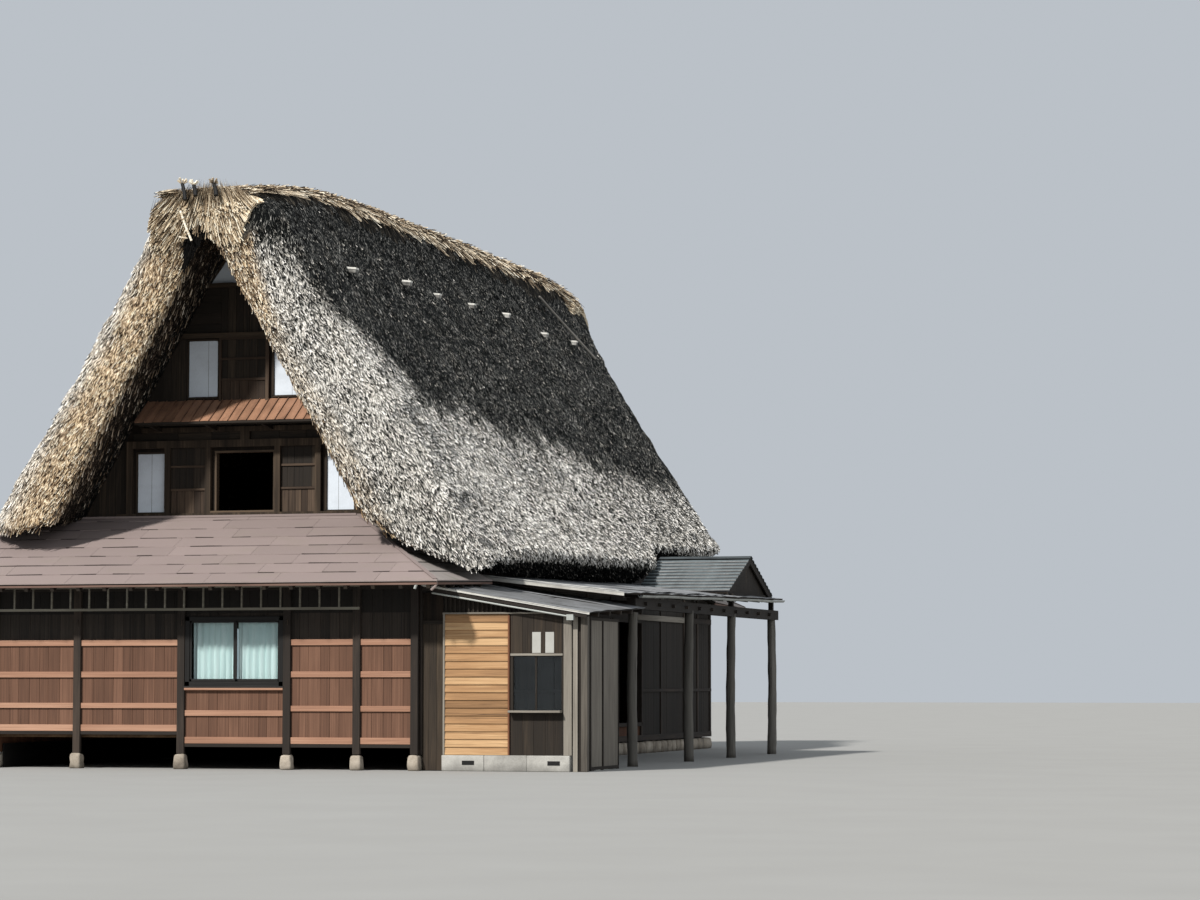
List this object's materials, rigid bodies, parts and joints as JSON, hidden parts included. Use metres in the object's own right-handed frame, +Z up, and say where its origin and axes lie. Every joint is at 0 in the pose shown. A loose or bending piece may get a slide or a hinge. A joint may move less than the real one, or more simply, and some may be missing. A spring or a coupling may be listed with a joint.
{
  "type": "thatched minka farmhouse",
  "caption": "Farmhouse with a steep thatched roof, hipped shingle pent roof, board walls, and a side annex with lean-to roofs and a small gabled porch roof.",
  "frame": {"origin": "bottom centre of the bounding box, on the ground plane under the stone pads", "axes": "+X along the front wall towards the side annex, +Y back along the ridge, +Z up"},
  "size_m": [11.2424, 20.42, 10.0488],
  "materials": {
    "concrete": "cast concrete",
    "clapboard": "honey-coloured boards",
    "log": "grey weathered log",
    "dark_boards": "weathered dark boards",
    "glass": "clear",
    "boards": "stained vertical boards",
    "curtain": "thin cotton",
    "timber": "smoke-dark timber",
    "red_metal": "seamed sheet, matt",
    "shingle": "flat shingles, matt",
    "white_panel": "flat sheet panel",
    "sheet_roof": "seamed sheet, weathered",
    "porch_sheet": "corrugated sheet, weathered",
    "straw": "bundled straw, rough",
    "stone": "rough stone",
    "thatch": "weathered reed thatch, rough"
  },
  "bodies": {
    "root": {"annex_base": "concrete", "annex_clapboard_wall": "clapboard", "annex_corner_post": "log", "annex_dark_boards": "dark_boards", "annex_post_frame": "log", "annex_shop_front": "dark_boards", "annex_shop_glass": "glass", "annex_side_boards": "log", "attic_floor": "boards", "curtain_left": "curtain", "curtain_right": "curtain", "eave_ladder": "timber", "front_frame": "timber", "front_gable_frame": "timber", "front_gable_pent_roof": "red_metal", "front_gable_wall_lower": "dark_boards", "front_gable_wall_upper": "dark_boards", "front_pent_roof": "shingle", "front_wall": "boards", "gable_panel_lower_left": "white_panel", "gable_panel_lower_right": "white_panel", "gable_panel_top": "white_panel", "gable_panel_upper_left": "white_panel", "gable_panel_upper_right": "white_panel", "ground_floor": "boards", "lean_to_roof_lower": "sheet_roof", "lean_to_roof_upper": "sheet_roof", "left_wall": "boards", "left_window_glass": "glass", "porch_gable": "dark_boards", "porch_roof": "porch_sheet", "rear_frame": "timber", "rear_gable_frame": "timber", "rear_gable_panels": "white_panel", "rear_gable_pent_roof": "red_metal", "rear_gable_wall_lower": "dark_boards", "rear_gable_wall_upper": "dark_boards", "rear_pent_roof": "shingle", "rear_wall": "boards", "rear_window_glass": "glass", "ridge_cap": "straw", "right_wall": "boards", "right_wall_upper": "dark_boards", "roof_frame_1": "timber", "roof_frame_2": "timber", "roof_frame_3": "timber", "stone_pad_1": "stone", "stone_pad_2": "stone", "stone_pad_3": "stone", "stone_pad_4": "stone", "stone_pad_5": "stone", "stone_pad_6": "stone", "stone_plinth": "stone", "thatch_left": "thatch", "thatch_right": "thatch", "upper_attic_floor": "boards", "window_frame": "timber", "window_glass": "glass"}
  },
  "joints": []
}
